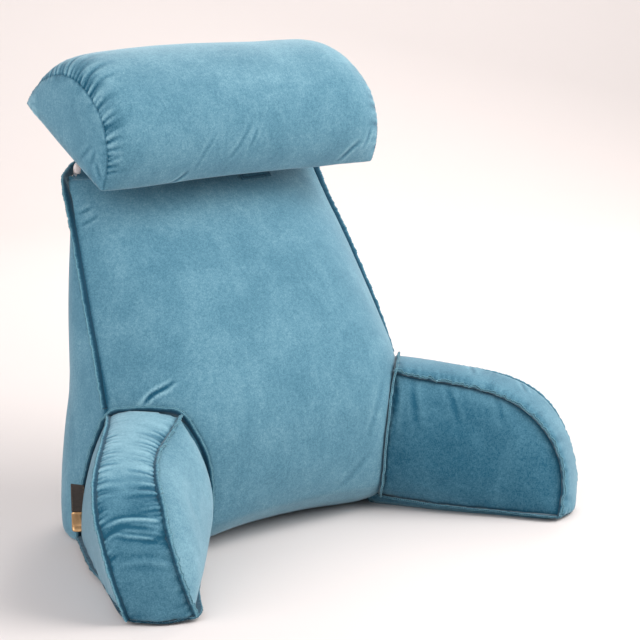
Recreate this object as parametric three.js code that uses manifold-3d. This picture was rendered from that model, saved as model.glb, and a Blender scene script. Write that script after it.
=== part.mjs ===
import * as THREE from 'three';
import { mergeVertices } from 'three/addons/utils/BufferGeometryUtils.js';
import Module from 'manifold-3d';

// Millimetres; x runs across the pillow, y to its back, z up; the floor is z = 0
const SEWN_GAP = 0.3;

// Back cushion: a wedge whose front panel leans back and whose rear panel stands upright
const BACK_HEIGHT = 470;
const BACK_REAR_Y = 115;
const BACK_TOP_RISE = 20;
const BACK_RISE_STARTS = 300;
const BACK_TOP_CROWN = 36;
const BACK_CORNER_DIP = 18;
const BACK_TOP_NARROWING = 0.5;
const BACK_TOP_POINT = 1;
const FLOOR_MIDDLE_Y = 20;
const FRONT_STEPS = 14;
const FRONT_SPREAD = 0.92;
const SIDE_STEPS = 15;

// One row for each level of the back cushion, from the floor to its top edge; cheek is how far
// the front stands out beside the arms, square how boxy the side is, bulge how far it swells
const BACK_LEVELS = [
  { z: 0, seamX: 251, seamY: -4, frontY: -66, fullness: 5, cheek: 34, square: 2.4, bulge: 0 },
  { z: 4, seamX: 252, seamY: -5, frontY: -84, fullness: 5.4, cheek: 32, square: 2.5, bulge: 0 },
  { z: 20, seamX: 252, seamY: -10, frontY: -124, fullness: 5.8, cheek: 24, square: 2.7, bulge: 0 },
  { z: 45, seamX: 251, seamY: -18, frontY: -154, fullness: 6, cheek: 11, square: 2.9, bulge: 1 },
  { z: 100, seamX: 249, seamY: -36, frontY: -170, fullness: 6, cheek: 0, square: 3, bulge: 3 },
  { z: 150, seamX: 246, seamY: -52, frontY: -172, fullness: 5.6, cheek: 0, square: 3, bulge: 4 },
  { z: 195, seamX: 243, seamY: -68, frontY: -165, fullness: 4.9, cheek: 0, square: 2.9, bulge: 5 },
  { z: 256, seamX: 237, seamY: -42, frontY: -138, fullness: 4, cheek: 0, square: 2.7, bulge: 6 },
  { z: 310, seamX: 230, seamY: -14, frontY: -104, fullness: 3.6, cheek: 0, square: 2.5, bulge: 7 },
  { z: 364, seamX: 222, seamY: 14, frontY: -64, fullness: 3.4, cheek: 0, square: 2.2, bulge: 7 },
  { z: 415, seamX: 213, seamY: 43, frontY: -20, fullness: 3.2, cheek: 0, square: 1.9, bulge: 3 },
  { z: 445, seamX: 210, seamY: 58, frontY: 12, fullness: 3, cheek: 0, square: 1.8, bulge: -2 },
  { z: BACK_HEIGHT, seamX: 206, seamY: 72, frontY: 44, fullness: 3, cheek: 0, square: 1.8, bulge: -2 },
];
const CHEEK_CENTRE = 0.66;
const CHEEK_WIDTH = 0.3;
const LEVEL_HEIGHTS = [
  0, 1.5, 5, 12, 24, 42, 66, 96, 128, 160, 190, 220, 252, 284, 316, 348, 380, 410, 436, 456, 466, BACK_HEIGHT,
];
const TOP_RINGS = [
  { inset: 0.1, lift: 0.24 },
  { inset: 0.35, lift: 0.62 },
  { inset: 0.66, lift: 0.92 },
];

// Value of one column of a table at a place between its rows, without overshoot
function column(rows, key, name, at) {
  const last = rows.length - 1;
  if (at <= rows[0][key]) {
    return rows[0][name];
  }
  if (at >= rows[last][key]) {
    return rows[last][name];
  }
  const secant = (i) => (rows[i + 1][name] - rows[i][name]) / (rows[i + 1][key] - rows[i][key]);
  const slope = (i) => {
    if (i === 0) {
      return secant(0);
    }
    if (i === last) {
      return secant(last - 1);
    }
    const before = secant(i - 1);
    const after = secant(i);
    return before * after <= 0 ? 0 : (2 * before * after) / (before + after);
  };
  let row = 0;
  while (at > rows[row + 1][key]) {
    row += 1;
  }
  const step = rows[row + 1][key] - rows[row][key];
  const t = (at - rows[row][key]) / step;
  const keepStart = 2 * t ** 3 - 3 * t ** 2 + 1;
  const pullStart = t ** 3 - 2 * t ** 2 + t;
  const pullEnd = t ** 3 - t ** 2;
  return keepStart * rows[row][name] + (1 - keepStart) * rows[row + 1][name]
    + step * (pullStart * slope(row) + pullEnd * slope(row + 1));
}

// Closed skin over a row of rings of points, with a fan of faces to a pole at each end.
// Each four-sided patch is split along its shorter diagonal, so that both halves of a pillow match.
function skin(rings, firstPole, lastPole) {
  const around = rings[0].length;
  const points = [...rings.flat(), firstPole, lastPole];
  const faces = [];
  for (let i = 0; i < rings.length - 1; i += 1) {
    for (let j = 0; j < around; j += 1) {
      const a = i * around + j;
      const b = i * around + ((j + 1) % around);
      const c = b + around;
      const d = a + around;
      if (points[a].distanceTo(points[c]) < points[b].distanceTo(points[d])) {
        faces.push(a, b, c, a, c, d);
      } else {
        faces.push(a, b, d, b, c, d);
      }
    }
  }
  const lastRing = (rings.length - 1) * around;
  for (let j = 0; j < around; j += 1) {
    const next = (j + 1) % around;
    faces.push(next, j, points.length - 2, lastRing + j, lastRing + next, points.length - 1);
  }
  const geometry = new THREE.BufferGeometry().setFromPoints(points);
  geometry.setIndex(faces);
  return facingOut(geometry);
}

// The same faces, turned round if they enclose a negative volume
function facingOut(geometry) {
  const index = geometry.index.array;
  const position = geometry.attributes.position;
  const corner = [new THREE.Vector3(), new THREE.Vector3(), new THREE.Vector3()];
  let volume = 0;
  for (let i = 0; i < index.length; i += 3) {
    corner.forEach((point, k) => point.fromBufferAttribute(position, index[i + k]));
    volume += corner[0].dot(corner[1].cross(corner[2]));
  }
  if (volume < 0) {
    for (let i = 0; i < index.length; i += 3) {
      [index[i + 1], index[i + 2]] = [index[i + 2], index[i + 1]];
    }
  }
  return geometry;
}

function pointsOf(position) {
  return Array.from({ length: position.count }, (_, i) => new THREE.Vector3().fromBufferAttribute(position, i));
}

// A copy with every face one gap further out, to cut a close neighbour with.
// A point on a sharp edge moves further, so that the faces on both sides of it clear the gap.
const LEAST_FACING = 0.3;

function grown(geometry) {
  const copy = geometry.clone();
  const position = copy.attributes.position;
  const index = copy.index.array;
  const points = pointsOf(position);
  const around = points.map(() => []);
  for (let i = 0; i < index.length; i += 3) {
    for (let k = 0; k < 3; k += 1) {
      const [at, next, last] = [0, 1, 2].map((step) => index[i + ((k + step) % 3)]);
      const toNext = points[next].clone().sub(points[at]);
      const toLast = points[last].clone().sub(points[at]);
      around[at].push({ face: toNext.clone().cross(toLast).normalize(), angle: toNext.angleTo(toLast) });
    }
  }
  points.forEach((p, i) => {
    const normal = new THREE.Vector3();
    around[i].forEach(({ face, angle }) => normal.addScaledVector(face, angle));
    normal.normalize();
    const facing = Math.min(...around[i].map(({ face }) => face.dot(normal)));
    p.addScaledVector(normal, SEWN_GAP / Math.max(facing, LEAST_FACING));
  });
  return copy.setFromPoints(points);
}

const wasm = await Module();
wasm.setup();
const SAME_POINT = 1e-4;

function toSolid(geometry) {
  const bare = geometry.clone();
  bare.deleteAttribute('normal');
  bare.deleteAttribute('uv');
  const merged = mergeVertices(bare, SAME_POINT);
  return new wasm.Manifold(new wasm.Mesh({
    numProp: 3,
    vertProperties: new Float32Array(merged.attributes.position.array),
    triVerts: new Uint32Array(merged.index.array),
  }));
}

function toGeometry(solid) {
  const mesh = solid.getMesh();
  const geometry = new THREE.BufferGeometry();
  geometry.setAttribute('position', new THREE.BufferAttribute(new Float32Array(mesh.vertProperties), 3));
  geometry.setIndex(new THREE.BufferAttribute(new Uint32Array(mesh.triVerts), 1));
  return geometry;
}

// The piece without the room that its grown neighbours take, and without loose crumbs
function cutBy(geometry, neighbours) {
  let solid = toSolid(geometry);
  for (const neighbour of neighbours) {
    solid = solid.subtract(toSolid(grown(neighbour)));
  }
  const pieces = solid.decompose();
  return toGeometry(pieces.reduce((best, piece) => (piece.volume() > best.volume() ? piece : best)));
}

// Front surface of the back cushion at one level: flat in the middle, full near its seams
function frontSurfaceY(x, z) {
  const level = (name) => column(BACK_LEVELS, 'z', name, z);
  const out = Math.abs(x / level('seamX'));
  const belly = (level('frontY') - level('seamY')) * (1 - out ** level('fullness'));
  const cheek = level('cheek') * Math.exp(-(((out - CHEEK_CENTRE) / CHEEK_WIDTH) ** 2));
  return level('seamY') + belly - cheek * (1 - out ** level('fullness'));
}

// Half of a level's outline, from the middle of the front round one side to the middle of the rear
function backHalfLevel(z) {
  const level = (name) => column(BACK_LEVELS, 'z', name, z);
  const seamX = level('seamX');
  const seamY = level('seamY');
  const half = [];
  for (let i = 0; i < FRONT_STEPS; i += 1) {
    const x = seamX * Math.sin((i / FRONT_STEPS) * Math.PI / 2) ** FRONT_SPREAD;
    half.push(new THREE.Vector3(x, frontSurfaceY(x, z), z));
  }
  const depth = BACK_REAR_Y - seamY;
  const rise = BACK_TOP_RISE * THREE.MathUtils.smoothstep(z, BACK_RISE_STARTS, BACK_HEIGHT);
  for (let i = 0; i <= SIDE_STEPS; i += 1) {
    const turn = (i / SIDE_STEPS) * Math.PI / 2;
    const across = Math.cos(turn) ** (2 / level('square'));
    const along = Math.sin(turn) ** (2 / level('square'));
    const bulge = level('bulge') * Math.sin(Math.PI * along) ** 2;
    half.push(new THREE.Vector3(seamX * across + bulge, seamY + depth * along, z + rise * along));
  }
  half[half.length - 1].x = 0;
  return half;
}

function bothSides(half) {
  const other = half.slice(1, -1).reverse().map((p) => new THREE.Vector3(-p.x, p.y, p.z));
  return [...half, ...other];
}

// The top panel closes over the last level and swells in the middle
function topRings(edge) {
  const middleY = (BACK_LEVELS.at(-1).frontY + BACK_REAR_Y) / 2;
  const halfWidth = BACK_LEVELS.at(-1).seamX;
  return TOP_RINGS.map(({ inset, lift }) => edge.map((p) => {
    const out = Math.abs(p.x / halfWidth);
    return new THREE.Vector3(
      p.x * (1 - BACK_TOP_NARROWING * inset),
      p.y + (middleY - p.y) * inset,
      p.z + lift * (BACK_TOP_CROWN * (1 - out ** 2) - BACK_CORNER_DIP * out ** 4),
    );
  }));
}

function backCushionGeometry() {
  const rings = LEVEL_HEIGHTS.map((z) => bothSides(backHalfLevel(z)));
  const tops = topRings(rings.at(-1));
  const floorPole = new THREE.Vector3(0, FLOOR_MIDDLE_Y, 0);
  const top = tops.at(-1);
  const topPole = top[0].clone().add(top[top.length / 2]).multiplyScalar(0.5);
  topPole.z = Math.max(...top.map((p) => p.z)) + BACK_TOP_POINT;
  return skin([...rings, ...tops], floorPole, topPole);
}

const LEAST_PULL = 0.05;

// Blows the skin out like a filled cover: a point with a pressure above 0 moves, the others are sewn down
function fill(geometry, pressureAt, rounds) {
  const index = geometry.index.array;
  const position = geometry.attributes.position;
  const points = pointsOf(position);
  for (let round = 0; round < rounds; round += 1) {
    const sum = points.map(() => new THREE.Vector3());
    const outward = points.map(() => new THREE.Vector3());
    const weight = points.map(() => 0);
    for (let i = 0; i < index.length; i += 3) {
      for (let k = 0; k < 3; k += 1) {
        const [at, next, last] = [0, 1, 2].map((step) => index[i + ((k + step) % 3)]);
        const toNext = points[next].clone().sub(points[at]);
        const toLast = points[last].clone().sub(points[at]);
        const face = toNext.clone().cross(toLast);
        const pull = Math.max(toNext.dot(toLast) / face.length(), LEAST_PULL);
        sum[next].addScaledVector(points[last], pull);
        sum[last].addScaledVector(points[next], pull);
        weight[next] += pull;
        weight[last] += pull;
        outward[at].addScaledVector(face, 1 / 3);
      }
    }
    points.forEach((p, i) => {
      if (pressureAt(i) > 0) {
        p.copy(sum[i]).addScaledVector(outward[i], pressureAt(i)).divideScalar(weight[i]);
      }
    });
  }
  points.forEach((p, i) => position.setXYZ(i, p.x, p.y, p.z));
  return geometry;
}

// Arm: two side panels, a boxing strip over their curved top edges, and a flat underside
const ARM_ROOT_SINK = 10;
const ARM_AXIS = new THREE.Vector3(0.53, -0.85, 0);
const INNER_PRESSURE = 0.0135;
const BOXING_PRESSURE = 0.01;
const OUTER_PRESSURE = 0.0045;
const ARM_FILL_ROUNDS = 90;
const ARM_TIP_BOW = 10;
const ARM_ROOT_ARCH = 9;
const ARM_TOP_STEPS = 22;
const ARM_ROOT_STEPS = 9;
const ARM_FLOOR_STEPS = 10;

// Turns of the edges of the two side panels of the right arm
const INNER_TOP_SEAM = [
  { x: 180, y: -143, z: 191 },
  { x: 205, y: -162, z: 183 },
  { x: 230, y: -182, z: 177 },
  { x: 259, y: -205, z: 170 },
  { x: 282, y: -231, z: 162 },
  { x: 300, y: -259, z: 150 },
  { x: 312, y: -286, z: 132 },
  { x: 321, y: -309, z: 106 },
  { x: 323, y: -327, z: 75 },
  { x: 318, y: -337, z: 44 },
  { x: 306, y: -342, z: 7 },
];
const OUTER_TOP_SEAM = [
  { x: 244, y: -77, z: 187 },
  { x: 269, y: -111, z: 186 },
  { x: 295, y: -142, z: 182 },
  { x: 321, y: -173, z: 177 },
  { x: 347, y: -202, z: 168 },
  { x: 369, y: -228, z: 152 },
  { x: 383, y: -250, z: 129 },
  { x: 389, y: -271, z: 98 },
  { x: 389, y: -287, z: 66 },
  { x: 384, y: -299, z: 32 },
  { x: 374, y: -301, z: 6 },
];
const INNER_ROOT_EDGE = [
  { x: 160, y: -137, z: 18 },
  { x: 150, y: -152, z: 34 },
  { x: 148, y: -157, z: 62 },
  { x: 149, y: -160, z: 100 },
  { x: 155, y: -157, z: 135 },
  { x: 166, y: -149, z: 166 },
  { x: 180, y: -143, z: 191 },
];
const OUTER_ROOT_EDGE = [
  { x: 248, y: -8, z: 10 },
  { x: 250, y: -16, z: 50 },
  { x: 250, y: -32, z: 100 },
  { x: 248, y: -53, z: 148 },
  { x: 244, y: -77, z: 187 },
];
const ROOT_TOP_EDGE = [
  { x: 242, y: -80, z: 190 },
  { x: 224, y: -101, z: 196 },
  { x: 203, y: -124, z: 197 },
  { x: 183, y: -141, z: 194 },
];
const INNER_FLOOR_EDGE = [
  { x: 306, y: -342, z: 7 },
  { x: 260, y: -280, z: 9 },
  { x: 206, y: -208, z: 12 },
  { x: 160, y: -137, z: 18 },
];
const OUTER_FLOOR_EDGE = [
  { x: 374, y: -301, z: 6 },
  { x: 338, y: -202, z: 8 },
  { x: 292, y: -98, z: 10 },
  { x: 248, y: -8, z: 10 },
];
const BOXING_RINGS = [
  { across: 0.05, floorZ: 0.45 },
  { across: 0.14, floorZ: 0.08 },
  { across: 0.32, floorZ: 0 },
  { across: 0.5, floorZ: 0 },
  { across: 0.68, floorZ: 0 },
  { across: 0.86, floorZ: 0.08 },
  { across: 0.95, floorZ: 0.45 },
];
const PANEL_RINGS = [0.93, 0.79, 0.6, 0.35];

function curvePoints(rows, steps) {
  const turns = rows.map((row) => new THREE.Vector3(row.x, row.y, row.z));
  return new THREE.CatmullRomCurve3(turns, false, 'centripetal').getSpacedPoints(steps);
}

function centreOf(points) {
  return points.reduce((sum, p) => sum.add(p), new THREE.Vector3()).divideScalar(points.length);
}

// Outline of one side panel: up the root, over the top, down the front and back along the floor
function armLoop(rootEdge, topSeam, floorEdge) {
  const root = curvePoints(rootEdge, ARM_ROOT_STEPS).map((p) => p.addScaledVector(ARM_AXIS, -ARM_ROOT_SINK));
  const top = curvePoints(topSeam, ARM_TOP_STEPS);
  const floor = curvePoints(floorEdge, ARM_FLOOR_STEPS).slice(1, -1);
  return [...root, ...top, ...floor];
}

function armGeometry() {
  const inner = armLoop(INNER_ROOT_EDGE, INNER_TOP_SEAM, INNER_FLOOR_EDGE);
  const outer = armLoop(OUTER_ROOT_EDGE, OUTER_TOP_SEAM, OUTER_FLOOR_EDGE);
  const topStart = ARM_ROOT_STEPS + 1;
  const floorStart = topStart + ARM_TOP_STEPS + 1;
  const panel = (loop) => PANEL_RINGS.map((size) => loop.map((p) => p.clone().lerp(centreOf(loop), 1 - size)));
  const boxing = BOXING_RINGS.map(({ across, floorZ }) => inner.map((p, j) => {
    const point = p.clone().lerp(outer[j], across);
    if (j >= floorStart || j === 0) {
      point.z *= floorZ;
    }
    if (j === floorStart - 1) {
      point.addScaledVector(ARM_AXIS, ARM_TIP_BOW * Math.sin(across * Math.PI));
    }
    if (j === ARM_ROOT_STEPS) {
      point.z += ARM_ROOT_ARCH * Math.sin(across * Math.PI);
    }
    return point;
  }));
  const rings = [...panel(inner).toReversed(), inner, ...boxing, outer, ...panel(outer)];
  const outerRing = PANEL_RINGS.length + BOXING_RINGS.length + 1;
  const pressureAt = (i) => {
    const ring = Math.floor(i / inner.length);
    const place = i % inner.length;
    if (ring < PANEL_RINGS.length || i === rings.length * inner.length) {
      return INNER_PRESSURE;
    }
    if (ring > outerRing) {
      return OUTER_PRESSURE;
    }
    const onTop = place >= topStart && place < floorStart - 1;
    return onTop && ring !== PANEL_RINGS.length && ring !== outerRing ? BOXING_PRESSURE : 0;
  };
  return fill(skin(rings, centreOf(inner), centreOf(outer)), pressureAt, ARM_FILL_ROUNDS);
}

// Neck roll: a half-round bolster with its flat side down, gathered into its two end panels
const ROLL_HALF_LENGTH = 225.5;
const ROLL_OFF_CENTRE = 3.5;
const ROLL_END_BULGE = 9;
const ROLL_ROUND_SWELL = 30;
const ROLL_FLAT_SWELL = 14;
const ROLL_ROUND_FULLNESS = 0.8;
const ROLL_FLAT_FULLNESS = 0.7;
const ROLL_ROUND_STEPS = 22;
const ROLL_FLAT_STEPS = 10;

// Seam of an end panel, from its front lower corner over the top to its rear corner
const ROLL_ROUND_EDGE = [
  { y: -39, z: 467 },
  { y: -50, z: 495 },
  { y: -53, z: 520 },
  { y: -49, z: 543 },
  { y: -37, z: 568 },
  { y: -14, z: 589 },
  { y: 12, z: 604 },
  { y: 42, z: 611 },
  { y: 73, z: 607 },
  { y: 99, z: 597 },
  { y: 121, z: 582 },
  { y: 137, z: 565 },
];

// How far the cloth has swelled between the two end seams, and how far it hangs lower
const ROLL_STATIONS = [
  { at: -1, swell: 0, drop: 0 },
  { at: -0.987, swell: 0.26, drop: 0 },
  { at: -0.96, swell: 0.54, drop: 0 },
  { at: -0.915, swell: 0.76, drop: 0 },
  { at: -0.84, swell: 0.9, drop: 0 },
  { at: -0.73, swell: 0.97, drop: 0 },
  { at: -0.55, swell: 1, drop: -1 },
  { at: -0.35, swell: 1, drop: -2 },
  { at: -0.1, swell: 0.98, drop: -2 },
  { at: 0.15, swell: 0.94, drop: -1 },
  { at: 0.38, swell: 0.9, drop: 0 },
  { at: 0.57, swell: 0.93, drop: 1 },
  { at: 0.72, swell: 0.9, drop: 1 },
  { at: 0.83, swell: 0.78, drop: 2 },
  { at: 0.91, swell: 0.55, drop: 3 },
  { at: 0.96, swell: 0.32, drop: 4 },
  { at: 0.987, swell: 0.13, drop: 4 },
  { at: 1, swell: 0, drop: 4 },
];
const ROLL_END_RINGS = [
  { size: 0.93, reach: 0.3 },
  { size: 0.74, reach: 0.7 },
  { size: 0.44, reach: 0.93 },
];

function rollSection({ at, swell, drop }) {
  const x = ROLL_OFF_CENTRE + at * ROLL_HALF_LENGTH;
  const round = curvePoints(ROLL_ROUND_EDGE.map(({ y, z }) => ({ x, y, z: z - drop })), ROLL_ROUND_STEPS);
  const front = round[0];
  const rear = round.at(-1);
  const flatMiddle = front.clone().lerp(rear, 0.5);
  const down = new THREE.Vector3(0, rear.z - front.z, front.y - rear.y).normalize();
  const ring = round.map((p, i) => {
    const share = Math.sin((i / ROLL_ROUND_STEPS) * Math.PI) ** ROLL_ROUND_FULLNESS;
    const outward = p.clone().sub(flatMiddle).normalize();
    return p.clone().addScaledVector(outward, ROLL_ROUND_SWELL * swell * share);
  });
  for (let i = 1; i < ROLL_FLAT_STEPS; i += 1) {
    const share = Math.sin((i / ROLL_FLAT_STEPS) * Math.PI) ** ROLL_FLAT_FULLNESS;
    const point = rear.clone().lerp(front, i / ROLL_FLAT_STEPS);
    ring.push(point.addScaledVector(down, ROLL_FLAT_SWELL * swell * share));
  }
  return ring;
}

function rollEnd(seam, towards) {
  const middle = centreOf(seam);
  const rings = ROLL_END_RINGS.map(({ size, reach }) => seam.map((p) => {
    const point = middle.clone().lerp(p, size);
    point.x += towards * ROLL_END_BULGE * reach;
    return point;
  }));
  middle.x += towards * ROLL_END_BULGE;
  return { rings, pole: middle };
}

function neckRollGeometry() {
  const sections = ROLL_STATIONS.map(rollSection);
  const left = rollEnd(sections[0], -1);
  const right = rollEnd(sections.at(-1), 1);
  return skin([...left.rings.toReversed(), ...sections, ...right.rings], left.pole, right.pole);
}

// The way a row of points runs at one of them
function heading(points, i) {
  const next = points[Math.min(i + 1, points.length - 1)];
  return next.clone().sub(points[Math.max(i - 1, 0)]).normalize();
}

// Standing seam: the doubled seam allowance, a narrow band that stands out of the filled cloth
const BAND_ROOT = 4;
const BAND_STAND = 7;
const BAND_THICKNESS = 2;

function bandGeometry(points, outwards, stand = BAND_STAND, thickness = BAND_THICKNESS) {
  const rings = points.map((p, i) => {
    const along = heading(points, i);
    const out = outwards[i].clone().addScaledVector(along, -outwards[i].dot(along)).normalize();
    const side = along.clone().cross(out).multiplyScalar(thickness / 2);
    const foot = p.clone().addScaledVector(out, -BAND_ROOT);
    const edge = p.clone().addScaledVector(out, stand);
    return [foot.clone().add(side), edge.clone().add(side), edge.sub(side), foot.sub(side)];
  });
  return skin(rings, centreOf(rings[0]), centreOf(rings.at(-1)));
}

// Band over a curved top edge of the arm; lean turns it from upright towards its side panel
const SEAM_BAND_STEPS = 20;
const SEAM_BAND_LEAN = 0.8;

function armSeamBand(seam, otherSeam) {
  const points = curvePoints(seam, SEAM_BAND_STEPS);
  const others = curvePoints(otherSeam, SEAM_BAND_STEPS);
  const outwards = points.map((p, i) => {
    const away = p.clone().sub(others[i]).normalize();
    const up = away.clone().cross(heading(points, i)).normalize();
    const forward = up.dot(ARM_AXIS) + up.z > 0 ? 1 : -1;
    return up.multiplyScalar(forward).addScaledVector(away, SEAM_BAND_LEAN);
  });
  return bandGeometry(points, outwards);
}

// Band round the root of the arm, where it is sewn to the back cushion
const ROOT_BAND_STEPS = 24;
const ROOT_BAND_LEAN = 0.55;

function armRootBand() {
  const upOutside = OUTER_ROOT_EDGE.slice(0, -1);
  const downInside = INNER_ROOT_EDGE.slice(0, -1).toReversed();
  const loop = [...upOutside, ...ROOT_TOP_EDGE, ...downInside];
  const points = curvePoints(loop, ROOT_BAND_STEPS);
  points.forEach((p) => {
    p.y = Math.min(p.y, frontSurfaceY(p.x, p.z));
  });
  const centre = centreOf(points);
  const outwards = points.map((p) => {
    const away = p.clone().sub(centre);
    away.addScaledVector(ARM_AXIS, -away.dot(ARM_AXIS)).normalize();
    return away.addScaledVector(ARM_AXIS, ROOT_BAND_LEAN);
  });
  return bandGeometry(points, outwards);
}

// Band round the foot of the arm, along both side panels and across the tip
const FOOT_BAND_STEPS = 24;
const FOOT_BAND_STAND = 6;
const TIP_FLOOR_EDGE = [
  { x: 326, y: -339, z: 5 },
  { x: 346, y: -330, z: 4 },
  { x: 362, y: -316, z: 5 },
];

function armFootBand() {
  const path = [...INNER_FLOOR_EDGE.toReversed(), ...TIP_FLOOR_EDGE, ...OUTER_FLOOR_EDGE];
  const points = curvePoints(path, FOOT_BAND_STEPS);
  const outwards = points.map((p, i) => {
    const along = heading(points, i);
    return new THREE.Vector3(along.y, -along.x, 0).normalize();
  });
  return bandGeometry(points, outwards, FOOT_BAND_STAND);
}

// Band down each side of the front panel, from behind the top corner to the arm's root
const FRONT_BAND_LEVELS = [466, 452, 430, 404, 376, 348, 320, 292, 264, 236, 214, 199];
const FRONT_BAND_CORNER = 4;
const FRONT_BAND_LEAN = new THREE.Vector3(0.9, 0.2, 0.3);
const CORNER_BAND_LEAN = new THREE.Vector3(0.6, 0, 0.8);
const CORNER_LEAN_RANGE = { from: BACK_HEIGHT - 24, to: BACK_HEIGHT + 2 };

function frontSeamBand() {
  const topEdge = backHalfLevel(BACK_HEIGHT).slice(FRONT_STEPS, FRONT_STEPS + FRONT_BAND_CORNER + 1).reverse();
  const down = FRONT_BAND_LEVELS.map((z) => new THREE.Vector3(
    column(BACK_LEVELS, 'z', 'seamX', z),
    column(BACK_LEVELS, 'z', 'seamY', z),
    z,
  ));
  const turns = [...topEdge, ...down];
  const points = new THREE.CatmullRomCurve3(turns, false, 'centripetal').getSpacedPoints(SEAM_BAND_STEPS);
  const outwards = points.map((p) => {
    const overCorner = THREE.MathUtils.smoothstep(p.z, CORNER_LEAN_RANGE.from, CORNER_LEAN_RANGE.to);
    return FRONT_BAND_LEAN.clone().lerp(CORNER_BAND_LEAN, overCorner);
  });
  return bandGeometry(points, outwards);
}

// Strap end that lies on the front panel just under the roll
const STRAP = { left: 46, right: 100, top: 476, bottom: 451, thickness: 2.6 };
const STRAP_STEPS = 6;

function strapGeometry() {
  const outline = [];
  for (let i = 0; i <= STRAP_STEPS; i += 1) {
    const x = THREE.MathUtils.lerp(STRAP.left, STRAP.right, i / STRAP_STEPS);
    const y = (z) => frontSurfaceY(x, Math.min(z, BACK_HEIGHT)) - SEWN_GAP;
    const front = -STRAP.thickness;
    outline.push([
      new THREE.Vector3(x, y(STRAP.bottom) + front, STRAP.bottom),
      new THREE.Vector3(x, y(STRAP.top) + front, STRAP.top),
      new THREE.Vector3(x, y(STRAP.top), STRAP.top),
      new THREE.Vector3(x, y(STRAP.bottom), STRAP.bottom),
    ]);
  }
  return skin(outline, centreOf(outline[0]), centreOf(outline.at(-1)));
}

// Oval button in the hollow of the left top corner
const BUTTON = { x: -177, y: 88, z: 480, width: 11, depth: 9, height: 20 };
const BUTTON_FACETS = { around: 20, down: 14 };

function buttonGeometry() {
  const oval = new THREE.SphereGeometry(0.5, BUTTON_FACETS.around, BUTTON_FACETS.down);
  oval.scale(BUTTON.width, BUTTON.depth, BUTTON.height);
  oval.translate(BUTTON.x, BUTTON.y, BUTTON.z);
  return toGeometry(toSolid(oval));
}

// Label in the outer root seam of the left arm: a ribbon with a metal plate closed over its end
const LABEL = { x: -251, y: -27, towardsX: -0.8, towardsY: 0.6, width: 18 };
const LABEL_RIBBON = { bottom: 50, top: 87, thickness: 1.6 };
const LABEL_PLATE = { bottom: 23, top: 49.7, thickness: 3 };

function labelPiece({ bottom, top, thickness }) {
  const plate = new THREE.BoxGeometry(LABEL.width, thickness, top - bottom);
  plate.translate(LABEL.width / 2, 0, (top + bottom) / 2);
  plate.rotateZ(Math.atan2(LABEL.towardsY, LABEL.towardsX));
  plate.translate(LABEL.x, LABEL.y, 0);
  return toGeometry(toSolid(plate));
}

function mirrored(geometry) {
  const copy = geometry.clone();
  copy.scale(-1, 1, 1);
  return facingOut(copy);
}

const velvet = new THREE.MeshStandardMaterial({ color: 0x4f8ea3, roughness: 0.9, metalness: 0 });
const seamVelvet = new THREE.MeshStandardMaterial({ color: 0x3d7890, roughness: 0.9, metalness: 0 });
const whiteHorn = new THREE.MeshStandardMaterial({ color: 0xe6ddd6, roughness: 0.35, metalness: 0 });
const brownRibbon = new THREE.MeshStandardMaterial({ color: 0x4a3a30, roughness: 0.8, metalness: 0 });
const brassPlate = new THREE.MeshStandardMaterial({ color: 0xb98a52, roughness: 0.35, metalness: 1 });

const pillow = new THREE.Group();

function addPiece(name, geometry, material) {
  const mesh = new THREE.Mesh(geometry, material.clone());
  mesh.name = name;
  pillow.add(mesh);
}

function addPair(name, geometry, material) {
  addPiece(`${name}_right`, geometry, material);
  addPiece(`${name}_left`, mirrored(geometry), material);
}

const backCushion = backCushionGeometry();
const wholeArm = armGeometry();
const neckRoll = cutBy(neckRollGeometry(), [backCushion]);
const rootBand = cutBy(armRootBand(), [backCushion, wholeArm]);
const frontBand = cutBy(frontSeamBand(), [backCushion, rootBand, wholeArm, neckRoll]);
const armNeighbours = [wholeArm, backCushion, rootBand];
const innerBand = armSeamBand(INNER_TOP_SEAM, OUTER_TOP_SEAM);
const outerBand = armSeamBand(OUTER_TOP_SEAM, INNER_TOP_SEAM);
const footBand = cutBy(armFootBand(), [...armNeighbours, innerBand, outerBand]);

addPiece('back_cushion', backCushion, velvet);
addPair('arm', cutBy(wholeArm, [backCushion]), velvet);
addPiece('neck_roll', neckRoll, velvet);
addPair('front_seam', frontBand, seamVelvet);
addPair('arm_root_seam', rootBand, seamVelvet);
addPair('arm_inner_seam', cutBy(innerBand, armNeighbours), seamVelvet);
addPair('arm_outer_seam', cutBy(outerBand, armNeighbours), seamVelvet);
addPair('arm_foot_seam', footBand, seamVelvet);
addPiece('strap_end', cutBy(strapGeometry(), [backCushion, neckRoll]), velvet);
addPiece('corner_button', cutBy(buttonGeometry(), [backCushion, neckRoll]), whiteHorn);

const labelNeighbours = [backCushion, mirrored(wholeArm), mirrored(rootBand)];
addPiece('label_ribbon', cutBy(labelPiece(LABEL_RIBBON), labelNeighbours), brownRibbon);
addPiece('label_plate', cutBy(labelPiece(LABEL_PLATE), labelNeighbours), brassPlate);

// The origin is under the middle of the whole pillow
const extent = new THREE.Box3().setFromObject(pillow);
pillow.position.set(-(extent.min.x + extent.max.x) / 2, -(extent.min.y + extent.max.y) / 2, -extent.min.z);

export default pillow;
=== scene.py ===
# Backrest pillow in crushed velvet: the cushions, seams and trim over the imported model.
# Lengths in the tables are millimetres from the middle of the back cushion's foot, as on the cutting plan.
import math

import bpy
import bmesh
import numpy as np
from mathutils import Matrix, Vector, kdtree


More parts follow.
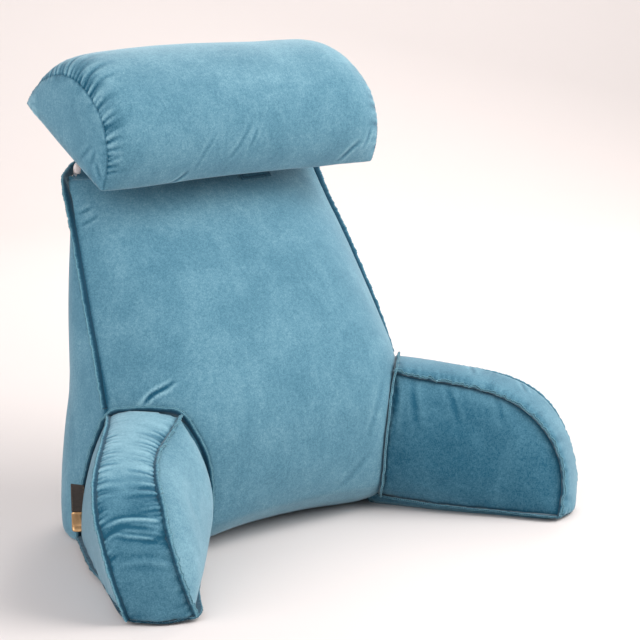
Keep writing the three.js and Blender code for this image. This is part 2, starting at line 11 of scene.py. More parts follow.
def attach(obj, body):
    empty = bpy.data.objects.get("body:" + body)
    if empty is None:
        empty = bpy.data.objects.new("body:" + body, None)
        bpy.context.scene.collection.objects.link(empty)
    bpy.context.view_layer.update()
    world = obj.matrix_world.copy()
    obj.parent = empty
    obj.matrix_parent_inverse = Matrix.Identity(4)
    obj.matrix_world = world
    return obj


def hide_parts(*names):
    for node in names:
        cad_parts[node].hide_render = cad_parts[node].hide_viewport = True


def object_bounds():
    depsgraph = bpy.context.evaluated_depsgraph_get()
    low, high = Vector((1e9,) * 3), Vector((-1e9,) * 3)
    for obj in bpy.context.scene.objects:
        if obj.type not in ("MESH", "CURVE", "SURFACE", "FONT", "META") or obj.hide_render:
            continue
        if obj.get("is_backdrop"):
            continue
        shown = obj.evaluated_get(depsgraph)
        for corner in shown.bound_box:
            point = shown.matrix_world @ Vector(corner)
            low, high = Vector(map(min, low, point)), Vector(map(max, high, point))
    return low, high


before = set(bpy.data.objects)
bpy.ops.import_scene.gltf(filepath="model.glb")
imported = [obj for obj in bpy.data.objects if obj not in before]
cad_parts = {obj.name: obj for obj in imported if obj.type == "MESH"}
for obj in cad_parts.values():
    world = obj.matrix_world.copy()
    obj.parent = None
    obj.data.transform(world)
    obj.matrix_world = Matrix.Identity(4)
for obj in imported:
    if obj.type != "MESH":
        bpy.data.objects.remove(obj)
cad_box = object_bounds()
scene = bpy.context.scene

# Camera, light and floor
# The view is the photograph's own: a long lens, a little above the arms, from the pillow's left front.
MM = 0.001
PLAN_SHIFT = Vector((0, 106.01, 0))


def plan(x, y, z):
    return (Vector((x, y, z)) + PLAN_SHIFT) * MM


VIEW_AZIMUTH = math.radians(39.56)
VIEW_DIP = math.radians(12.52)
camera_data = bpy.data.cameras.new("camera")
camera_data.lens = 123.75
camera_data.sensor_width = 36
camera_data.clip_end = 50
camera = bpy.data.objects.new("camera", camera_data)
camera.location = plan(-1765.3, -2340.9, 915.4)
looking = Vector((
    math.sin(VIEW_AZIMUTH) * math.cos(VIEW_DIP),
    math.cos(VIEW_AZIMUTH) * math.cos(VIEW_DIP),
    -math.sin(VIEW_DIP),
))
camera.rotation_euler = looking.to_track_quat("-Z", "Y").to_euler()
scene.collection.objects.link(camera)
scene.camera = camera

LIGHTS = [
    # name, place, aims at, size in m, power in W, colour
    ("window_light", (1350, -1500, 1750), (0, 0, 250), 2.2, 76, (1.0, 0.985, 0.96)),
    ("left_front_fill", (-1900, -1500, 2100), (0, 0, 200), 2.2, 13, (1.0, 0.98, 0.97)),
    ("left_wall_bounce", (-2300, -100, 1300), (0, 0, 300), 2.2, 34, (0.97, 0.98, 1.0)),
    ("back_glow", (1700, 1000, 1700), (0, 0, 300), 1.6, 26, (1.0, 0.97, 0.93)),
    ("wall_wash", (700, 1300, 2600), (2300, 3300, 1500), 2.0, 34, (1.0, 0.96, 0.93)),
]
for name, place, aim, size, power, colour in LIGHTS:
    lamp = bpy.data.lights.new(name, "AREA")
    lamp.size = size
    lamp.energy = power
    lamp.color = colour
    lamp_object = bpy.data.objects.new(name, lamp)
    lamp_object.location = plan(*place)
    lamp_object.rotation_euler = (plan(*aim) - plan(*place)).to_track_quat("-Z", "Y").to_euler()
    scene.collection.objects.link(lamp_object)

world = bpy.data.worlds.new("studio")
world.use_nodes = True
world.node_tree.nodes["Background"].inputs["Color"].default_value = (0.86, 0.85, 0.86, 1)
world.node_tree.nodes["Background"].inputs["Strength"].default_value = 0.46
scene.world = world
scene.view_settings.view_transform = "Standard"

# A sheet of matt paper that bends up behind the pillow, in metres
FLOOR_HALF = 4.0
FLOOR_BEHIND = 2.2
FLOOR_BEND = 1.2
FLOOR_BEND_STEPS = 16
FLOOR_WALL = 3.0
floor_rows = [(-FLOOR_HALF, 0.0), (FLOOR_BEHIND, 0.0)]
for step in range(1, FLOOR_BEND_STEPS + 1):
    turn = step / FLOOR_BEND_STEPS * math.pi / 2
    floor_rows.append((FLOOR_BEHIND + FLOOR_BEND * math.sin(turn), FLOOR_BEND * (1 - math.cos(turn))))
floor_rows.append((FLOOR_BEHIND + FLOOR_BEND, FLOOR_WALL + FLOOR_BEND))
across = Vector((looking.y, -looking.x, 0)).normalized()
away = Vector((looking.x, looking.y, 0)).normalized()
floor_mesh = bpy.data.meshes.new("studio_floor")
floor_points = [
    away * distance + across * side + Vector((0, 0, height))
    for distance, height in floor_rows for side in (-FLOOR_HALF, FLOOR_HALF)
]
floor_faces = [(2 * i, 2 * i + 1, 2 * i + 3, 2 * i + 2) for i in range(len(floor_rows) - 1)]
floor_mesh.from_pydata(floor_points, [], floor_faces)
floor_mesh.shade_smooth()
floor = bpy.data.objects.new("studio_floor", floor_mesh)
scene.collection.objects.link(floor)
floor_paint = bpy.data.materials.new("studio_paper")
floor_paint.use_nodes = True
paper = floor_paint.node_tree.nodes["Principled BSDF"]
paper.inputs["Base Color"].default_value = (0.75, 0.7, 0.688, 1)
paper.inputs["Roughness"].default_value = 0.9
paper.inputs["Specular IOR Level"].default_value = 0.1
floor_mesh.materials.append(floor_paint)
floor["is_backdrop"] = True


# Back cushion
# One big filled cushion: a leaning front panel, two side panels and a rear panel, stuffed firm with loose
# fibre. The cover is blown out as cloth with its seams held, then creased where the arms pull on it.
#
# Its cloth is polyester velvet with a short crushed nap: the pile lies in soft patches and strokes of random
# tone. Painted light and shade come on top: painted shade in the folds, painted highlights on their ridges,
# and per part paler where it faces the light and darker where it faces away.
def velvet(name, deep, mid, pale, stroke_length=(1.0, 1.0, 2.2), stroke_turn=0.0, nap=1.0):
    material = bpy.data.materials.new(name)
    material.use_nodes = True
    tree = material.node_tree
    nodes, link = tree.nodes, tree.links.new
    shader = nodes["Principled BSDF"]
    place = nodes.new("ShaderNodeTexCoord")

    def noise(scale, detail, rough, stretch=(1, 1, 1), distortion=0.0):
        turn = nodes.new("ShaderNodeMapping")
        turn.vector_type = "TEXTURE"
        turn.inputs["Rotation"].default_value = (0, 0, stroke_turn)
        turn.inputs["Scale"].default_value = stretch
        link(place.outputs["Object"], turn.inputs["Vector"])
        cloud = nodes.new("ShaderNodeTexNoise")
        cloud.inputs["Scale"].default_value = scale
        cloud.inputs["Detail"].default_value = detail
        cloud.inputs["Roughness"].default_value = rough
        cloud.inputs["Distortion"].default_value = distortion
        link(turn.outputs["Vector"], cloud.inputs["Vector"])
        return cloud.outputs["Fac"]

    def reach(value, low, high, out_low=0.0, out_high=1.0):
        ramp = nodes.new("ShaderNodeMapRange")
        ramp.interpolation_type = "SMOOTHSTEP"
        ramp.inputs["From Min"].default_value = low
        ramp.inputs["From Max"].default_value = high
        ramp.inputs["To Min"].default_value = out_low
        ramp.inputs["To Max"].default_value = out_high
        link(value, ramp.inputs["Value"])
        return ramp.outputs["Result"]

    def total(*values):
        result = values[0]
        for value in values[1:]:
            plus = nodes.new("ShaderNodeMath")
            plus.operation = "ADD"
            link(result, plus.inputs[0])
            link(value, plus.inputs[1])
            result = plus.outputs[0]
        return result

    # How much each layer of the nap turns it from pale to deep, from hand-wide patches down to single flecks
    patches = reach(noise(13, 3, 0.5, distortion=0.5), 0.32, 0.68, -0.05 * nap, 0.05 * nap)
    strokes = reach(noise(80, 4, 0.62, stroke_length, 0.8), 0.3, 0.7, -0.036 * nap, 0.036 * nap)
    mottle = reach(noise(260, 3, 0.55), 0.3, 0.7, -0.045 * nap, 0.045 * nap)
    flecks = reach(noise(620, 2, 0.6), 0.25, 0.75, -0.1 * nap, 0.1 * nap)
    # Painted shade in creases and seam valleys, and painted highlights on ridges, from the fold depth each
    # piece keeps
    painted_fold_shade = nodes.new("ShaderNodeAttribute")
    painted_fold_shade.attribute_name = "painted_fold_shade"
    painted_crease_shade = reach(painted_fold_shade.outputs["Fac"], -1.0, 1.0, -0.5, 0.5)
    # Painted light and painted shade of each part, by how it faces the light or where shade falls on it
    painted_light = nodes.new("ShaderNodeAttribute")
    painted_light.attribute_name = "painted_light"
    # The nap's random tone, plus the painted shade of the folds and the painted light of each part
    lean = total(patches, strokes, mottle, flecks, painted_crease_shade, painted_light.outputs["Fac"])
    tone = nodes.new("ShaderNodeValToRGB")
    tone.color_ramp.elements[0].position = 0.1
    tone.color_ramp.elements[0].color = (*deep, 1)
    tone.color_ramp.elements[1].position = 0.9
    tone.color_ramp.elements[1].color = (*pale, 1)
    middle = tone.color_ramp.elements.new(0.5)
    middle.color = (*mid, 1)
    raised = nodes.new("ShaderNodeMath")
    raised.operation = "ADD"
    raised.inputs[1].default_value = 0.5
    link(lean, raised.inputs[0])
    link(raised.outputs[0], tone.inputs["Fac"])
    link(tone.outputs["Color"], shader.inputs["Base Color"])

    shader.inputs["Roughness"].default_value = 0.86
    shader.inputs["Specular IOR Level"].default_value = 0.18
    shader.inputs["Sheen Weight"].default_value = 0.5
    shader.inputs["Sheen Roughness"].default_value = 0.42
    shader.inputs["Sheen Tint"].default_value = (0.72, 0.88, 0.95, 1)
    coarse = nodes.new("ShaderNodeBump")
    coarse.inputs["Strength"].default_value = 0.16
    coarse.inputs["Distance"].default_value = 0.0016
    link(noise(95, 4, 0.6, stroke_length, 0.5), coarse.inputs["Height"])
    fine = nodes.new("ShaderNodeBump")
    fine.inputs["Strength"].default_value = 0.3
    fine.inputs["Distance"].default_value = 0.0004
    link(noise(1500, 2, 0.5), fine.inputs["Height"])
    link(coarse.outputs["Normal"], fine.inputs["Normal"])
    link(fine.outputs["Normal"], shader.inputs["Normal"])
    return material


DEEP_TEAL = (0.01, 0.085, 0.145)
MID_TEAL = (0.09, 0.228, 0.31)
PALE_TEAL = (0.25, 0.45, 0.54)
body_velvet = velvet("velvet", DEEP_TEAL, MID_TEAL, PALE_TEAL)


def run_along(line):
    """How far along a line each of its points is."""
    return np.concatenate([[0], np.cumsum(np.linalg.norm(np.diff(line, axis=0), axis=1))])


CURVE_STEPS = 24


def curve(rows, spacing=1.0):
    """Evenly spaced points on a smooth line through the turns of a table, in metres."""
    turns = [Vector(row) for row in rows]
    turns = [turns[0] * 2 - turns[1], *turns, turns[-1] * 2 - turns[-2]]
    fine = []
    for p0, p1, p2, p3 in zip(turns, turns[1:], turns[2:], turns[3:]):
        t0, t1, t2 = (max((b - a).length, 1e-4) ** 0.5 for a, b in ((p0, p1), (p1, p2), (p2, p3)))
        slope1 = ((p1 - p0) / t0 - (p2 - p0) / (t0 + t1) + (p2 - p1) / t1) * t1
        slope2 = ((p2 - p1) / t1 - (p3 - p1) / (t1 + t2) + (p3 - p2) / t2) * t1
        for k in range(CURVE_STEPS):
            t = k / CURVE_STEPS
            fine.append(
                p1 * (2 * t**3 - 3 * t**2 + 1) + p2 * (3 * t**2 - 2 * t**3)
                + slope1 * (t**3 - 2 * t**2 + t) + slope2 * (t**3 - t**2)
            )
    fine.append(turns[-2])
    line = np.array([plan(*p) for p in fine])
    run = run_along(line)
    count = max(int(run[-1] / (spacing * MM)), 2)
    at = np.linspace(0, run[-1], count + 1)
    return np.stack([np.interp(at, run, line[:, k]) for k in range(3)], 1)


def nearest(points, line):
    """For each point: its distance to a line, how far along the line that is, and which line point it is."""
    tree = kdtree.KDTree(len(line))
    for k, p in enumerate(line):
        tree.insert(p, k)
    tree.balance()
    found = [tree.find(p)[1:] for p in points]
    index = np.array([f[0] for f in found])
    return np.array([f[1] for f in found]), run_along(line)[index], index


def points_of(mesh):
    flat = np.empty(len(mesh.vertices) * 3, np.float32)
    mesh.vertices.foreach_get("co", flat)
    return flat.reshape(-1, 3).astype(float)


def normals_of(mesh):
    flat = np.empty(len(mesh.vertices) * 3, np.float32)
    mesh.vertex_normals.foreach_get("vector", flat)
    return flat.reshape(-1, 3).astype(float)


def set_points(mesh, points):
    mesh.vertices.foreach_set("co", points.astype(np.float32).ravel())
    mesh.update()


def baked(obj):
    """The object's mesh with its modifiers applied."""
    shape = bpy.data.meshes.new_from_object(obj.evaluated_get(bpy.context.evaluated_depsgraph_get()))
    obj.modifiers.clear()
    old = obj.data
    obj.data = shape
    bpy.data.meshes.remove(old)
    return shape


# How near a seam a point is drawn on to it, how gently that ends, and how far the seam holds the cloth, in
# steps of the grid
DRAWN_WITHIN = 0.95
DRAWN_EASE = 0.4
HELD_WITHIN = 1.8


def drawn_on(points, seams, voxel):
    """The points with those beside a seam drawn on to it, so that the cover keeps its sewn edges."""
    for seam in seams:
        off, _, index = nearest(points, seam)
        pull = np.clip((DRAWN_WITHIN - off / (voxel * MM)) / DRAWN_EASE, 0, 1)[:, None]
        points = points + pull * (seam[index] - points)
    return points


COVER_SOFTENING = 8
CLOTH_FRAMES = 20


def filled_cover(name, node, voxel, seams, held_by, pressure, slack, most):
    """A fine copy of a CAD cushion, blown out as cloth: the points near the seams stay where they are sewn.

    The grid and the most that a point moves are in millimetres; held_by says what else holds the cloth."""
    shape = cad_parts[node].data.copy()
    work = bmesh.new()
    work.from_mesh(shape)
    bmesh.ops.remove_doubles(work, verts=work.verts, dist=1e-5)
    work.to_mesh(shape)
    work.free()
    piece = bpy.data.objects.new(name, shape)
    scene.collection.objects.link(piece)
    remesh = piece.modifiers.new("remesh", "REMESH")
    remesh.mode = "VOXEL"
    remesh.voxel_size = voxel * MM
    soften = piece.modifiers.new("soften", "SMOOTH")
    soften.factor = 0.5
    soften.iterations = COVER_SOFTENING
    shape = baked(piece)
    before = drawn_on(points_of(shape), seams, voxel)
    set_points(shape, before)
    held = held_by(before)
    for seam in seams:
        held = np.maximum(held, np.clip(HELD_WITHIN - nearest(before, seam)[0] / (voxel * MM), 0, 1))
    group = piece.vertex_groups.new(name="sewn")
    for value in np.unique(np.round(held, 2)):
        if value > 0:
            group.add(np.nonzero(np.abs(held - value) < 0.006)[0].tolist(), float(value), "REPLACE")
    cloth = piece.modifiers.new("cloth", "CLOTH")
    settings = cloth.settings
    settings.quality = 5
    settings.mass = 0.3
    settings.tension_stiffness = 12
    settings.compression_stiffness = 12
    settings.shear_stiffness = 5
    settings.bending_stiffness = 0.35
    settings.use_pressure = True
    settings.uniform_pressure_force = pressure
    settings.shrink_min = -slack
    settings.effector_weights.gravity = 0
    settings.vertex_group_mass = "sewn"
    settings.pin_stiffness = 1
    cloth.point_cache.frame_start = 1
    cloth.point_cache.frame_end = CLOTH_FRAMES
    for step in range(1, CLOTH_FRAMES + 1):
        scene.frame_set(step)
    moved = piece.evaluated_get(bpy.context.evaluated_depsgraph_get())
    after = points_of(moved.data)
    piece.modifiers.clear()
    move = after - before
    length = np.linalg.norm(move, axis=1, keepdims=True)
    move *= np.minimum(1, most * MM / np.maximum(length, 1e-9))
    set_points(shape, before + move)
    scene.frame_set(1)
    finer = piece.modifiers.new("finer", "SUBSURF")
    finer.levels = 1
    finer.render_levels = 1
    shape = baked(piece)
    shape.shade_smooth()
    return piece


def wander(along, seed, longest, count=7):
    """A smooth uneven line between -1 and 1 over a length, from a few waves of seeded length and start."""
    dice = np.random.RandomState(seed)
    total = np.zeros_like(along)
    for k in range(count):
        wave = longest * (0.35 + 0.65 * dice.rand()) / (1 + 0.6 * k)
        total += np.sin(2 * math.pi * along / wave + 6.28 * dice.rand()) / (1 + 0.5 * k)
    return total / 2.2


def crease(points, path, width, depth):
    """Depth at each point of a crease along a path: a narrow valley with a low ridge on either side."""
    line = curve(path)
    off, run, _ = nearest(points, line)
    taper = np.sin(np.pi * np.clip(run / run.max(), 0, 1)) ** 0.6
    away = off / (width * MM)
    return depth * MM * taper * (0.5 * np.exp(-((away - 1.8) ** 2)) - np.exp(-away**2))


# A fold this deep, in mm, gets the darkest painted shade, or on a ridge the palest painted highlight
FOLD_FULL = 1.8


def keep(shape, name, values):
    """Keeps one number for each point, for the velvet to read."""
    shape.attributes.new(name, "FLOAT", "POINT").data.foreach_set("value", values.astype(np.float32))


def shaped(piece, depth, painted_light, fullness=0.0):
    """Moves each point along its normal, and keeps for the velvet the folds, as painted shade and highlight,
    and the painted light and shade of each part.
    """
    shape = piece.data
    points = points_of(shape)
    set_points(shape, points + normals_of(shape) * (depth + fullness)[:, None])
    # The fold depth is kept as painted shade in valleys and painted highlight on ridges
    keep(shape, "painted_fold_shade", np.clip(depth / (FOLD_FULL * MM), -1, 1))
    keep(shape, "painted_light", painted_light)


def dressed(piece, material, slot, *nodes, fill=None):
    """The piece's cloth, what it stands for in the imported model, and the body it rides on."""
    piece.data.materials.clear()
    piece.data.materials.append(material)
    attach(piece, "root")
    if nodes:
        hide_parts(*nodes)


FRONT_SEAM = [
    # x, y, z of the seam between the front panel and the right side panel, downwards
    (206, 72, 470), (210, 58, 445), (213, 43, 415), (222, 14, 364), (230, -14, 310), (237, -42, 256),
    (243, -68, 195), (246, -52, 150), (249, -36, 100), (251, -18, 45),
]
ROOT_RING = [
    # x, y, z of the seam round the root of the right arm, from the floor outside over to the floor inside
    (248, -8, 10), (250, -16, 50), (250, -32, 100), (248, -53, 148), (242, -80, 190), (224, -101, 196),
    (203, -124, 197), (183, -145, 194), (166, -155, 166), (155, -163, 135), (149, -164, 100), (148, -161, 62),
    (150, -154, 34), (160, -140, 18),
]
TOP_EDGE = [
    # x, y, z of the edge of the top panel, from behind round the right top corner to the front
    (100, 109, 488), (132, 103, 484), (163, 96, 481), (186, 88, 477), (200, 79, 473), (206, 72, 470),
    (190, 66, 470), (160, 57, 470), (120, 50, 470),
]


def flipped(line):
    return line * np.array([-1, 1, 1])


front_seam = curve(FRONT_SEAM)
root_ring = curve(ROOT_RING)
back_seams = [front_seam, flipped(front_seam), root_ring, flipped(root_ring)]
top_edge = curve(TOP_EDGE)
BACK_GRID = 6.2
BACK_REST = 3
BACK_REST_EASE = 12


def held_by_floor(points):
    """How firmly the floor holds the underside: fully up to BACK_REST, and less over the ease above it."""
    return np.clip(1 - (points[:, 2] - BACK_REST * MM) / (BACK_REST_EASE * MM), 0, 1)


back = filled_cover(
    "back_cushion_cover", "back_cushion", BACK_GRID, [*back_seams, top_edge, flipped(top_edge)],
    held_by_floor, pressure=2.2, slack=0.012, most=6,
)
BACK_CREASES = [
    # path, half width, depth: a sharp one above the left arm, a pair at the left top corner, soft ones low
    (
        ((-230, -103, 197), (-216, -110, 204), (-203, -114, 215), (-187, -123, 225), (-174, -127, 233)),
        2.6, 2.2,
    ),
    (((-206, -114, 206), (-190, -122, 211), (-178, -130, 212)), 3.2, 0.5),
    (((-205, 44, 428), (-196, 40, 432), (-186, 37, 438)), 2.6, 0.8),
    (((-205, 37, 414), (-196, 33, 418), (-184, 29, 425)), 2.6, 0.9),
    (((150, -160, 190), (128, -166, 150), (110, -170, 110)), 5, 0.3),
    (((120, -166, 96), (88, -164, 66), (66, -156, 47)), 5, 0.3),
]
# The two top corners are stuffed full, so that they fill the hollow under the roll's ends, and carry painted
# shade there
BACK_EARS = [(-190, 98, 474), (190, 98, 474)]
BACK_EAR_PUFF = 9
BACK_EAR_REACH = 22
BACK_EAR_PAINTED_SHADE = 0.3
SEAM_VALLEY = 1.3
SEAM_VALLEY_REACH = 4
# Painted light on the front panel's upper part under the roll: from this height it grows to full at that one
UNDER_ROLL_FROM, UNDER_ROLL_FULL = 330, 450
UNDER_ROLL_PAINTED_LIGHT = 0.04
points = points_of(back.data)
depth = sum(crease(points, *row) for row in BACK_CREASES)
shade = np.zeros(len(points))
fullness = np.zeros(len(points))
for seam in back_seams:
    off, _, _ = nearest(points, seam)
    depth -= SEAM_VALLEY * MM * np.exp(-((off / (SEAM_VALLEY_REACH * MM)) ** 2))
for ear in BACK_EARS:
    away = np.linalg.norm(points - np.array(plan(*ear)), axis=1) / MM
    # Painted shade over the top corner, where it lies in the hollow under the roll's end
    shade -= BACK_EAR_PAINTED_SHADE * np.exp(-((away / BACK_EAR_REACH) ** 2))
    fullness += BACK_EAR_PUFF * MM * np.exp(-((away / BACK_EAR_REACH) ** 2))
# Painted light: front-facing points are painted paler as they rise towards the roll
facing_front = np.clip(-normals_of(back.data)[:, 1] * 2, 0, 1)
rise = (points[:, 2] / MM - UNDER_ROLL_FROM) / (UNDER_ROLL_FULL - UNDER_ROLL_FROM)
under_roll = facing_front * np.clip(rise, 0, 1)
shaped(back, depth, shade + UNDER_ROLL_PAINTED_LIGHT * under_roll, fullness)
dressed(back, body_velvet, "velvet", "back_cushion", fill=0.9)


# Seams of the front panel
# The seam allowance is turned outwards: two layers of velvet stand up together along the seam, some 7 mm
# high, wavy and a little frayed at their cut edges, overlocked, with painted shade in the gap between them.
SEAM_SECTION = [
    # across, share of the height, how far the layer opens, fold shade: painted shade below 0, painted
    # highlight above
    (-1.0, None, 0.0, -0.9), (-1.0, 0.12, 0.0, -0.8), (-0.95, 0.45, 0.2, -0.1), (-1.0, 0.78, 0.6, 0.35),
    (-0.95, 0.95, 1.0, 0.9), (-0.6, 1.0, 1.0, 1.0), (-0.22, 0.95, 0.7, 0.2), (0.0, 0.7, 0.0, -1.0),
    (0.22, 0.9, -0.7, 0.1), (0.6, 0.96, -1.0, 0.9), (0.95, 0.9, -1.0, 0.8), (1.0, 0.72, -0.6, 0.2),
    (0.95, 0.42, -0.2, -0.2), (1.0, 0.12, 0.0, -0.8), (1.0, None, 0.0, -0.9),
]
# How deep the strip's foot is sewn into the cover, in mm
SEAM_FOOT = -6.0
# How much darker the strip's side that is turned from the light lies
SEAM_FAR_SHADE = 0.22
# The rows of the section that an overlock loop goes through, and how many steps along each of them lies
OVERLOCK = [(3, 0), (5, 0), (9, 1), (11, 1)]
OVERLOCK_STAND = 0.25
# How long the waves of a strip are, in mm: its sway, its ripple, its height, the jags of its edge, its gap
SWAY_WAVE, RIPPLE_WAVE, HEIGHT_WAVE, JAG_WAVE, GAP_WAVE = 60, 11, 45, 9, 38
EAR_LENGTH = 7
FRAY = 0.12
OVERLOCK_THREAD = 0.7


def meshed(name, points, faces, material, slot, *nodes):
    """A new piece from points and faces, with its faces turned outwards."""
    shape = bpy.data.meshes.new(name)
    shape.from_pydata(points.tolist(), [], faces)
    shape.shade_smooth()
    work = bmesh.new()
    work.from_mesh(shape)
    bmesh.ops.recalc_face_normals(work, faces=work.faces)
    work.to_mesh(shape)
    work.free()
    piece = bpy.data.objects.new(name, shape)
    scene.collection.objects.link(piece)
    dressed(piece, material, slot, *nodes)
    return piece


def swept(sections):
    """Points and faces of a closed skin over a row of sections of points."""
    count, around = sections.shape[:2]
    faces = []
    for start in range(0, (count - 1) * around, around):
        for j in range(around):
            k = (j + 1) % around
            faces.append((start + j, start + k, start + around + k, start + around + j))
    faces += [tuple(range(around - 1, -1, -1)), tuple(range((count - 1) * around, count * around))]
    return sections.reshape(-1, 3), faces


def threads(name, paths, thickness, material, slot):
    """Short lengths of sewing thread, each a thin three-sided tube along its path."""
    points, faces = [], []
    for path in paths:
        along = np.gradient(path, axis=0)
        along /= np.linalg.norm(along, axis=1, keepdims=True)
        aside = np.cross(along, np.array([0.31, 0.52, 0.79]))
        aside /= np.linalg.norm(aside, axis=1, keepdims=True)
        other = np.cross(along, aside)
        corners = [
            path + 0.5 * thickness * MM * (math.cos(turn) * aside + math.sin(turn) * other)
            for turn in (0, 2 * math.pi / 3, 4 * math.pi / 3)
        ]
        tube, sides = swept(np.stack(corners, 1))
        start = sum(len(p) for p in points)
        points.append(tube)
        faces += [tuple(start + k for k in side) for side in sides]
    return meshed(name, np.concatenate(points), faces, material, slot)


def standing_seam(
    name, line, outs, node, seed, stand=6.6, thickness=2.1, sway=1.2, ripple=0.5, ears=0.0, opening=1.0,
    turned_from=None, tone=0.0,
):
    """A strip of two cloth layers along a line, leaning the way of outs, overlocked over its uneven edge.

    It stands so many mm high, sways and ripples to its sides, and ears raise its start. The side that faces
    the way of turned_from gets painted shade, and tone adds painted light or painted shade to all of it. The
    rows of its section carry painted shade at its foot and in its gap, and painted highlights on its edges."""
    run = run_along(line)
    along = np.gradient(line, axis=0)
    along /= np.linalg.norm(along, axis=1, keepdims=True)
    outs = outs - (outs * along).sum(1, keepdims=True) * along
    outs /= np.linalg.norm(outs, axis=1, keepdims=True)
    side = np.cross(along, outs)
    dice = np.random.RandomState(seed)
    wave = (sway * wander(run, seed, SWAY_WAVE * MM) + ripple * wander(run, seed + 1, RIPPLE_WAVE * MM)) * MM
    unevenness = 0.1 * wander(run, seed + 2, HEIGHT_WAVE * MM) + 0.05 * wander(run, seed + 3, JAG_WAVE * MM)
    height = stand * (1 + unevenness)
    height *= 1 + ears * np.exp(-((run / (EAR_LENGTH * MM)) ** 2))
    part = 1 + 0.5 * wander(run, seed + 4, GAP_WAVE * MM)
    far_side = 0 if turned_from is None else np.sign((side * turned_from).sum(1).mean())
    rings, shades = [], []
    for across, share, opens, shade in SEAM_SECTION:
        up = np.full_like(run, SEAM_FOOT) if share is None else share * height
        risen = np.clip(up / stand, 0, 1.2)
        fray = dice.uniform(-FRAY, FRAY, len(run)) if share and share > 0.85 else np.zeros_like(run)
        shift = across * thickness / 2 * MM - opens * opening * 0.4 * part * MM * risen + wave * risen**1.4
        rings.append(line + outs * ((up + fray) * MM)[:, None] + side * shift[:, None])
        shades.append(np.full(len(run), np.clip(shade + tone + SEAM_FAR_SHADE * far_side * across, -1, 1)))
    piece = meshed(name, *swept(np.stack(rings, 1)), shaded_seam_velvet, "velvet_seam", node)
    keep(piece.data, "painted_fold_shade", np.stack(shades, 1).ravel())
    loops = []
    for start in range(1, len(run) - 2, 2):
        loop = np.array([rings[k][start + step] for k, step in OVERLOCK])
        out = loop - loop.mean(0)
        loops.append(loop + OVERLOCK_STAND * MM * out / np.linalg.norm(out, axis=1, keepdims=True))
    threads(f"{name}_overlock", loops, OVERLOCK_THREAD, seam_thread, "velvet_seam")
    return piece


def thread_material(name, dark, light):
    """Spun polyester thread: two tones that change every few stitches, with a slight gloss."""
    material = bpy.data.materials.new(name)
    material.use_nodes = True
    nodes, link = material.node_tree.nodes, material.node_tree.links.new
    shader = nodes["Principled BSDF"]
    place = nodes.new("ShaderNodeTexCoord")
    uneven = nodes.new("ShaderNodeTexNoise")
    uneven.inputs["Scale"].default_value = 260
    link(place.outputs["Object"], uneven.inputs["Vector"])
    tone = nodes.new("ShaderNodeMix")
    tone.data_type = "RGBA"
    tone.inputs["A"].default_value = (*dark, 1)
    tone.inputs["B"].default_value = (*light, 1)
    link(uneven.outputs["Fac"], tone.inputs["Factor"])
    link(tone.outputs["Result"], shader.inputs["Base Color"])
    twist = nodes.new("ShaderNodeTexWave")
    twist.inputs["Scale"].default_value = 900
    twist.bands_direction = "DIAGONAL"
    link(place.outputs["Object"], twist.inputs["Vector"])
    ply = nodes.new("ShaderNodeBump")
    ply.inputs["Strength"].default_value = 0.4
    ply.inputs["Distance"].default_value = 0.0002
    link(twist.outputs["Fac"], ply.inputs["Height"])
    link(ply.outputs["Normal"], shader.inputs["Normal"])
    shader.inputs["Roughness"].default_value = 0.6
    return material


# A darker copy of the body velvet: painted shade for the seam strips and the strap end, which lie in shade
shaded_seam_velvet = velvet(
    "shaded_seam_velvet", (0.006, 0.05, 0.09), (0.045, 0.155, 0.225), (0.17, 0.37, 0.46),
    stroke_length=(1, 1, 1), nap=1.2,
)
seam_thread = thread_material("seam_thread", (0.04, 0.13, 0.19), (0.19, 0.39, 0.47))
FRONT_SEAM_CORNER = [
    # x, y, z of the same seam where it turns back over the top corner
    (168, 99, 483), (179, 93, 480), (190, 86, 476), (200, 78, 472),
]
# The strip ends at the arm's root. From this height on, over so many mm, its edge turns to stand upwards.
FRONT_SEAM_SHOWN = 7
FRONT_SEAM_TURNS = 446
FRONT_SEAM_TURN = 26
SEAM_SPACING = 1.5
for hand, mirror in (("right", 1), ("left", -1)):
    line = curve([*FRONT_SEAM_CORNER, *FRONT_SEAM[:FRONT_SEAM_SHOWN]], SEAM_SPACING)
    over = np.clip((line[:, 2] / MM - FRONT_SEAM_TURNS) / FRONT_SEAM_TURN, 0, 1)[:, None]
    outs = np.array([0.9, 0.2, 0.3]) * (1 - over) + np.array([0.6, 0.0, 0.8]) * over
    flip = np.array([mirror, 1, 1])
    standing_seam(
        f"front_seam_strip_{hand}", line * flip, outs * flip, f"front_seam_{hand}", 11 + mirror,
        sway=0.9, turned_from=np.array([mirror, 0.5, 0]),
    )


# Arms
# Each arm is a filled cushion of two side panels and a boxing strip, which is longer than the panels and
# gathered on to them, so fine folds run across it from both seams, most near the root.
ARM_AXIS = np.array([0.53, -0.85, 0.0])
